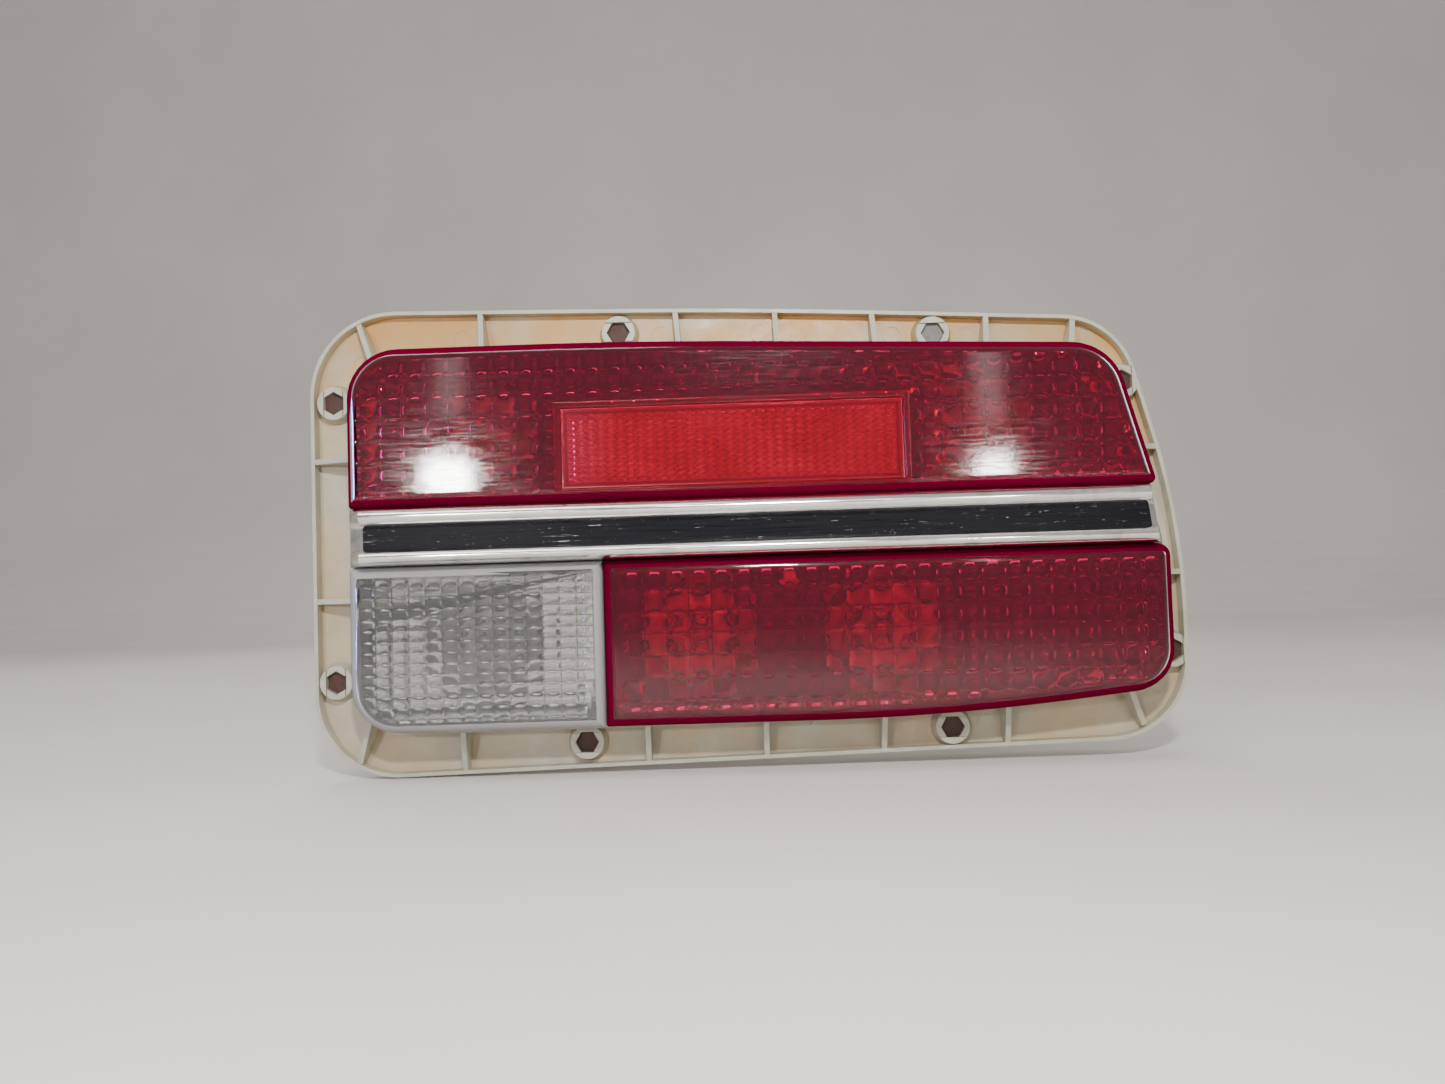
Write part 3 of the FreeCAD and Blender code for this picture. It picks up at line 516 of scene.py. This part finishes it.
def silvered_material(name, plate_colour_and_shade):
    """Vacuum-metallised reflector: bright bowls and a plate in the given tint; a dark tint is painted shade
    on the plate.
    """
    material, n = new_material(name, Metallic=1.0, Roughness=0.13)
    bowl = n.span(n.axis("Y"), -0.0056, -0.0036)
    spots = n.span(n.noise(90.0, 6.0, 0.65), 0.45, 0.8)
    bright = n.mix(spots, (0.98, 0.97, 0.96, 1), (0.70, 0.68, 0.65, 1))
    # Outside the bowls the plate takes the tint; a dark tint there is painted shade.
    n.to("Base Color", n.mix(bowl, plate_colour_and_shade, bright))
    polish = n.span(spots, 0.0, 1.0, 0.12, 0.22)
    n.to("Roughness", n.math("ADD", n.math("MULTIPLY", bowl, 0.26), polish))
    n.bump(n.noise(60.0, 3.0), 0.05, 0.0006)
    return material


def chrome_material():
    rough = 0.11
    material, n = new_material("chrome_trim", Metallic=1.0, Roughness=rough)
    grime = n.span(n.noise(70.0, 6.0, 0.65), 0.5, 0.78)
    n.to("Base Color", n.mix(grime, (0.82, 0.81, 0.80, 1), (0.50, 0.47, 0.44, 1)))
    streak = n.noise(1.0, 4.0, 0.6, n.stretched((25.0, 700.0, 700.0)))
    n.to("Roughness", n.span(streak, 0.35, 0.75, rough * 0.7, rough * 2.6))
    n.bump(n.noise(30.0, 3.0), 0.04, 0.001)
    return material


def black_paint_material():
    """Black paint in the trim's recess with lengthwise scratches and chips down to the chrome."""
    material, n = new_material("black_paint", Roughness=0.3, Specular_IOR_Level=0.06)
    scratch = n.noise(1.0, 6.0, 0.7, n.stretched((30.0, 1200.0, 1200.0)))
    chips = n.noise(1.0, 5.0, 0.8, n.stretched((110.0, 1500.0, 1500.0)))
    bare = n.math("MAXIMUM", n.span(scratch, 0.66, 0.70), n.span(chips, 0.64, 0.67))
    worn = n.mix(n.span(scratch, 0.4, 0.7), (0.006, 0.006, 0.008, 1), (0.012, 0.012, 0.015, 1))
    n.to("Base Color", n.mix(bare, worn, (0.75, 0.72, 0.66, 1)))
    n.to("Metallic", bare)
    n.to("Roughness", n.span(scratch, 0.3, 0.7, 0.24, 0.42))
    n.bump(scratch, 0.25, 0.0003)
    return material


def rust_material(grey_place):
    """Rusty bolts; the one near grey_place is still plain zinc grey."""
    material, n = new_material("rusty_bolt", Roughness=0.8)
    grain = n.noise(420.0, 7.0, 0.7)
    rust = n.ramp(grain, 0.32, 0.68, (0.012, 0.005, 0.004, 1), (0.085, 0.030, 0.017, 1))
    gap = n.add("VectorMath", operation="DISTANCE")
    n.link(n.place, gap.inputs[0])
    gap.inputs[1].default_value = grey_place
    plated = n.math("LESS_THAN", gap.outputs["Value"], 0.03)
    grey = n.ramp(grain, 0.35, 0.7, (0.10, 0.10, 0.10, 1), (0.30, 0.30, 0.29, 1))
    n.to("Base Color", n.mix(plated, rust, grey))
    n.to("Metallic", n.math("MULTIPLY", plated, 0.8))
    n.to("Roughness", n.span(grain, 0.3, 0.7, 0.45, 0.9))
    n.bump(grain, 0.6, 0.0006)
    return material


def plastic_material(name, colour, rough):
    material, n = new_material(name, Roughness=rough)
    light = tuple(min(1.0, c * 1.5 + 0.006) for c in colour[:3]) + (1,)
    n.to("Base Color", n.ramp(n.noise(120.0, 5.0), 0.35, 0.7, colour, light))
    n.to("Roughness", n.span(n.noise(300.0, 3.0), 0.3, 0.7, rough - 0.08, rough + 0.1))
    n.bump(n.noise(1400.0, 2.0), 0.12, 0.0002)
    return material


def metal_material(name, colour, rough):
    material, n = new_material(name, Metallic=1.0, Roughness=rough)
    dull = tuple(c * 0.55 for c in colour[:3]) + (1,)
    n.to("Base Color", n.ramp(n.noise(160.0, 6.0, 0.65), 0.35, 0.72, colour, dull))
    n.to("Roughness", n.span(n.noise(260.0, 4.0), 0.3, 0.7, rough * 0.7, rough * 1.5))
    n.bump(n.noise(900.0, 3.0), 0.1, 0.0002)
    return material


def glass_material(name, colour):
    material, n = new_material(name, Roughness=0.0, IOR=1.45, Transmission_Weight=1.0)
    n.to("Base Color", n.ramp(n.noise(50.0, 2.0), 0.3, 0.7, colour, (1, 1, 1, 1)))
    return material


# ---------------------------------------------------------------- lenses

def make_lens(name, foot, skin, cell, bulge, looks, slot, plain):
    """Closed lens: foot in its seat, upright walls, a rolled shoulder, a face and cushions inside.
    looks holds the skin material, the dark edge material that is painted shade on the walls and shoulder,
    and colour and roughness of the cushions."""
    foot_ring, skin_ring = outline_ring(foot, 0.0), outline_ring(skin, 0.0)
    outer = [at_depth(foot_ring, SEAT), at_depth(foot_ring, RIM)]
    outer += [at_depth(skin_ring, SKIN_START), at_depth(skin_ring, FACE - SHOULDER)]
    for step in range(1, SHOULDER_STEPS + 1):
        angle = math.radians(90 * step / SHOULDER_STEPS)
        inset, drop = SHOULDER * (1 - math.cos(angle)), SHOULDER * (1 - math.sin(angle))
        outer.append(at_depth(outline_ring(skin, inset), FACE - drop))
    inside = outline_ring(skin, OPTICS_INSET)
    inner = [
        at_depth(outline_ring(foot, WALL), SEAT), at_depth(outline_ring(foot, WALL), INNER_RIM),
        at_depth(outline_ring(skin, WALL + 1.0), FACE - 5.0), at_depth(inside, OPTICS_DEPTH),
    ]
    shell, window = loft(outer), plate_window(name)
    shell[1].extend(face_with_window(outer[-1], len(shell[0]), shell[0], window))
    rim = loft([inner[0], outer[0]])
    sheet = pillow_sheet(inside, cell, bulge, OPTICS_DEPTH, plain)
    corner = max(p.x for p in inside), max(p.y for p in inside)
    skin_material, edge_shade_material, optics_colour, optics_rough = looks
    smooth_faces = len(shell[1]) + len(rim[1])
    piece = new_object(f"{name}_moulding", *joined(shell, rim, loft(inner, flip=True), sheet))
    optics = optics_material(f"{name}_optics", optics_colour, optics_rough, corner, cell)
    paint(piece, skin_material, optics, edge_shade_material)
    # The first rows of faces from the foot take the dark edge material: painted shade on the walls and
    # shoulder.
    shaded_wall_faces = SHADED_EDGE_ROWS * len(outer[0])
    for index, face in enumerate(piece.data.polygons):
        face.material_index = 2 if index < shaded_wall_faces else 0 if index < smooth_faces else 1
    weld(piece)
    smooth(piece, 38.0)
    return finish_piece(piece, "lamp_body", slot, name)


def plate_window(name):
    """Seat of the reflex plate in the upper lens: corners (x, z) with a little clearance."""
    if name != "upper_lens":
        return None
    left, right, low, high = REFLEX_PLATE
    left, right, low, high = left - PLATE_GAP, right + PLATE_GAP, low - PLATE_GAP, high + PLATE_GAP
    return [(left, high), (right, high), (right, low), (left, low)]


def face_with_window(ring, first, vertices, window):
    """Front face of a lens.  With a window it has a shallow rectangular seat sunk into it."""
    count = len(ring)
    outer_ids = list(range(first - count, first))
    if window is None:
        return [tuple(outer_ids)[::-1]]
    for depth in (FACE, PLATE_SEAT):
        vertices.extend((x * MM, -depth * MM, z * MM) for x, z in window)
    rim_ids, floor_ids = [first + k for k in range(4)], [first + 4 + k for k in range(4)]
    loops = [[Vector((v[0], v[2], 0)) for v in ring], [Vector((x * MM, z * MM, 0)) for x, z in window]]
    ids = outer_ids + rim_ids
    faces = []
    for triangle in tessellate_polygon(loops):
        a, b, c = (ids[k] for k in triangle)
        ax, az, bx, bz, cx, cz = (vertices[k][m] for k in (a, b, c) for m in (0, 2))
        turned = (bx - ax) * (cz - az) - (bz - az) * (cx - ax)
        faces.append((a, b, c) if turned > 0 else (a, c, b))
    for k in range(4):
        m = (k + 1) % 4
        faces.append((rim_ids[k], rim_ids[m], floor_ids[m], floor_ids[k]))
    faces.append(tuple(floor_ids)[::-1])
    return faces


# Where each lens has no cushions: functions of the coordinates x and z.

def upper_plain(x, z):
    left, right, low, high = REFLEX_PLATE
    beside = (x > left - PLATE_MARGIN) & (x < right + PLATE_MARGIN)
    return beside & (z > low - PLATE_MARGIN) & (z < high + PLATE_MARGIN)


def lower_plain(x, z):
    ring = np.array([tuple(p) for p in outline_ring(LOWER_SKIN, LOWER_BORDER)])
    return snap_inside(np.stack([x, z], 1), ring)[1]


def reverse_plain(x, z):
    return (x > CLEAR_RIGHT) | (z > CLEAR_TOP)


def make_reflex_reflector():
    """Red plate: polished face, short sides and a field of cube corners moulded on its back."""
    left, right, low, high = REFLEX_PLATE
    front, back, border = 37.3, 34.6, 2.6
    spacing = 1.6
    row_step, level_step = spacing * math.sqrt(3) / 2, spacing / math.sqrt(2)
    rows, columns = int((high - low - 2 * border) / row_step), int((right - left - 2 * border) / spacing)
    ends = (left + border, left + border + columns * spacing, low + border, low + border + rows * row_step)
    vertices, faces = [], []
    for j in range(rows + 1):
        for i in range(columns + 2):
            x = ends[0] + (i - 0.5 + 0.5 * (j % 2)) * spacing
            level = (i - j // 2 - j) % 3
            if not ends[0] < x < ends[1] or j in (0, rows):
                x, level = min(max(x, ends[0]), ends[1]), 0
            vertices.append((x * MM, (-back - level * level_step) * MM, (ends[2] + j * row_step) * MM))
    width = columns + 2
    for j in range(rows):
        for i in range(width - 1):
            a, b, c, d = (j * width + i, j * width + i + 1, (j + 1) * width + i + 1, (j + 1) * width + i)
            faces += [(a, d, b), (b, d, c)] if j % 2 else [(a, c, b), (a, d, c)]
    field = (vertices, faces)

    def ring(x0, x1, z0, z1, depth):
        return [(x * MM, -depth * MM, z * MM) for x, z in ((x0, z0), (x1, z0), (x1, z1), (x0, z1))]
    back_ring = ring(*ends, back)
    sides = [back_ring, ring(left, right, low, high, back), ring(left, right, low, high, front - 0.5),
             ring(left + 0.5, right - 0.5, low + 0.5, high - 0.5, front)]
    shell_vertices, shell_faces = loft(sides, flip=True)
    shell_faces.append(tuple(range(12, 16)))
    piece = new_object("reflex_plate", *joined((shell_vertices, shell_faces), field))
    weld(piece)
    smooth(piece, 20.0)
    paint(piece, reflex_material())
    return finish_piece(piece, "lamp_body", "reflex_red", "reflex_reflector")


def make_reflex_frame(material):
    """Low raised border of the upper lens round the reflex plate."""
    left, right, low, high = REFLEX_PLATE
    sides = ((4.0, FACE - 0.2), (3.6, FACE + 0.9), (3.0, FACE + 1.3), (1.0, FACE + 1.3), (0.5, FACE + 0.9),
             (0.5, FACE - 1.2))
    rings = []
    for reach, depth in sides:
        x0, x1, z0, z1 = left - reach, right + reach, low - reach * 0.5, high + reach
        rings.append([(x * MM, -depth * MM, z * MM) for x, z in ((x0, z1), (x1, z1), (x1, z0), (x0, z0))])
    rings.append(rings[0])
    piece = new_object("reflex_frame", *loft(rings))
    weld(piece)
    recalculate(piece)
    paint(piece, material)
    bevel = piece.modifiers.new("edges", "BEVEL")
    bevel.width, bevel.segments = 0.3 * MM, 2
    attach(piece, "lamp_body")


# ---------------------------------------------------------------- trim bar

def trim_section(steps=14):
    """Closed section (depth, z) and which of its runs carry black paint, from the top down."""
    def ridge(*corners):
        """Bezier curve."""
        corners = [Vector(c) for c in corners]
        points = []
        for k in range(steps + 1):
            line = corners
            while len(line) > 1:
                line = [a.lerp(b, k / steps) for a, b in zip(line, line[1:])]
            points.append(line[0])
        return points
    outer, inner = RIDGE_CREST
    top = ridge((RIDGE_FOOT, TRIM_HIGH), (outer, TRIM_HIGH), (inner, 14.5), (RECESS, 11.6))
    bottom = ridge((RECESS, 1.2), (inner, 0.0), (outer, TRIM_LOW), (RIDGE_FOOT, TRIM_LOW))
    front = top + [Vector((RECESS, 8.2)), Vector((RECESS, 4.6))] + bottom
    rear = [(21.0, TRIM_LOW), (20.0, TRIM_LOW + 1.0), (20.0, TRIM_HIGH - 1.0), (21.0, TRIM_HIGH)]
    return front + [Vector(point) for point in rear], (len(top) - 1, len(top) + 2)


def make_trim_bar():
    """Chrome bar lofted along X.  Its ridges come down to a point at each end."""
    section, (paint_from, paint_to) = trim_section()
    stations = [(TRIM_LEFT, 1.0), (TRIM_LEFT_FLAT, 0.0)]
    stations += [(x, 0.0) for x in range(-176, 185, 8)]
    stations += [(TRIM_RIGHT_FLAT, 0.0), (TRIM_RIGHT, 1.0)]
    rings = []
    for x, lowered in stations:
        ring = []
        for point in section:
            depth = point.x
            if depth > END_DEPTH:
                depth += (END_DEPTH - depth) * END_SHARE * lowered
            slant = -END_SLANT * point.y if x > SLANT_FROM else 0.0
            ring.append(((x + slant) * MM, -depth * MM, point.y * MM))
        rings.append(ring)
    vertices, faces = loft(rings)
    count = len(section)
    faces += [tuple(range(count))[::-1], tuple(range(len(vertices) - count, len(vertices)))]
    piece = new_object("trim_chrome", vertices, faces)
    paint(piece, chrome_material(), black_paint_material())
    for index, face in enumerate(piece.data.polygons):
        station, run = divmod(index, count)
        painted = paint_from <= run < paint_to and 1 <= station < len(stations) - 2
        face.material_index = 1 if painted else 0
    recalculate(piece)
    smooth(piece, 30.0)
    return finish_piece(piece, "lamp_body", "chrome_trim", "trim_bar")


# ---------------------------------------------------------------- CAD pieces

def soften(piece, width, segments=2, angle=32.0):
    """Welds the CAD faces together and rounds their edges, as moulded or pressed parts have."""
    weld_modifier = piece.modifiers.new("weld", "WELD")
    weld_modifier.merge_threshold = 0.00001
    bevel = piece.modifiers.new("edges", "BEVEL")
    bevel.width = width * MM
    bevel.segments = segments
    bevel.limit_method = "ANGLE"
    bevel.angle_limit = math.radians(angle)
    bevel.use_clamp_overlap = True
    bevel.harden_normals = True


def dress_cad_nodes():
    """Material and edge rounding of every node that keeps its CAD mesh."""
    housing = housing_material()
    # Its near-black plate tint is painted shade around the bowls of the upper and lower reflectors.
    shaded_metallised = silvered_material("metallised_painted_shade", (0.055, 0.05, 0.05, 1))
    bright = silvered_material("metallised_bright", (0.80, 0.79, 0.77, 1))
    plated = metal_material("plated_steel", (0.55, 0.54, 0.52, 1), 0.32)
    rubber = plastic_material("black_rubber", (0.018, 0.018, 0.019, 1), 0.75)
    foam = plastic_material("gasket_foam", (0.03, 0.03, 0.032, 1), 0.92)
    holder = plastic_material("holder_black", (0.022, 0.021, 0.020, 1), 0.45)
    brass = metal_material("brass", (0.72, 0.53, 0.25, 1), 0.3)
    spring = metal_material("spring_steel", (0.50, 0.50, 0.50, 1), 0.25)
    filament = metal_material("filament_wire", (0.30, 0.30, 0.31, 1), 0.35)
    glass = glass_material("bulb_glass", (0.97, 0.98, 0.99, 1))
    rusty = rust_material((0.098, -0.005, 0.103))
    table = {
        "housing": (housing, 0.35), "mounting_bolts": (rusty, 0.35), "trim_nuts": (plated, 0.2),
        "reflector_screws": (plated, 0.12), "panel_gasket": (foam, 0.5), "lens_seal": (rubber, 0.2),
        "upper_reflector": (shaded_metallised, 0.3), "lower_reflector": (shaded_metallised, 0.3),
        "reverse_reflector": (bright, 0.3),
    }
    endings = {
        "_holder": (holder, 0.4), "_seal": (rubber, 0.3), "_sleeve": (plated, 0.1),
        "_contact": (brass, 0.15), "_spring": (spring, 0.0), "_terminals": (brass, 0.12),
        "_bulb_base": (brass, 0.2), "_bulb_glass": (glass, 0.0), "_filament": (filament, 0.0),
    }
    replaced = {"upper_lens", "lower_lens", "reverse_lens", "reflex_reflector", "trim_bar"}
    for name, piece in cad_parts.items():
        if name in replaced:
            continue
        if name not in table:
            ending = next(e for e in endings if name.endswith(e))
            table[name] = endings[ending]
        material, width = table[name]
        paint(piece, material)
        if width:
            soften(piece, width)


def squash_springs():
    """Gives each spring its own copy of its mesh."""
    for name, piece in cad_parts.items():
        if name.endswith("_spring"):
            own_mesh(piece)


# ---------------------------------------------------------------- the scene

place_camera()
light_studio()
lay_floor(cad_box[0].z - 0.8 * MM)
dress_cad_nodes()
# The dark opaque edge materials are painted shade on the lens walls and shoulders.
red_looks = (lens_material("red_acrylic", (0.96, 0.002, 0.12, 1), 0.035),
             lens_material("red_edge_painted_shade", (0.10, 0.001, 0.014, 1), 1.0, 0.0), (1.0, 0.012, 0.28, 1), 0.02)
clear_looks = (lens_material("clear_acrylic", (0.80, 0.79, 0.77, 1), 0.06),
               lens_material("clear_edge_painted_shade", (0.30, 0.29, 0.28, 1), 1.0, 0.0), (0.92, 0.91, 0.89, 1), 0.12)
make_lens("upper_lens", UPPER_FOOT, UPPER_SKIN, RED_CELL, RED_BULGE, red_looks, "red_lens", upper_plain)
make_lens("lower_lens", LOWER_FOOT, LOWER_SKIN, RED_CELL, RED_BULGE, red_looks, "red_lens", lower_plain)
make_lens("reverse_lens", REVERSE_FOOT, REVERSE_SKIN, CLEAR_CELL, CLEAR_BULGE, clear_looks, "clear_lens",
          reverse_plain)
make_reflex_frame(red_looks[0])
make_reflex_reflector()
make_trim_bar()
squash_springs()
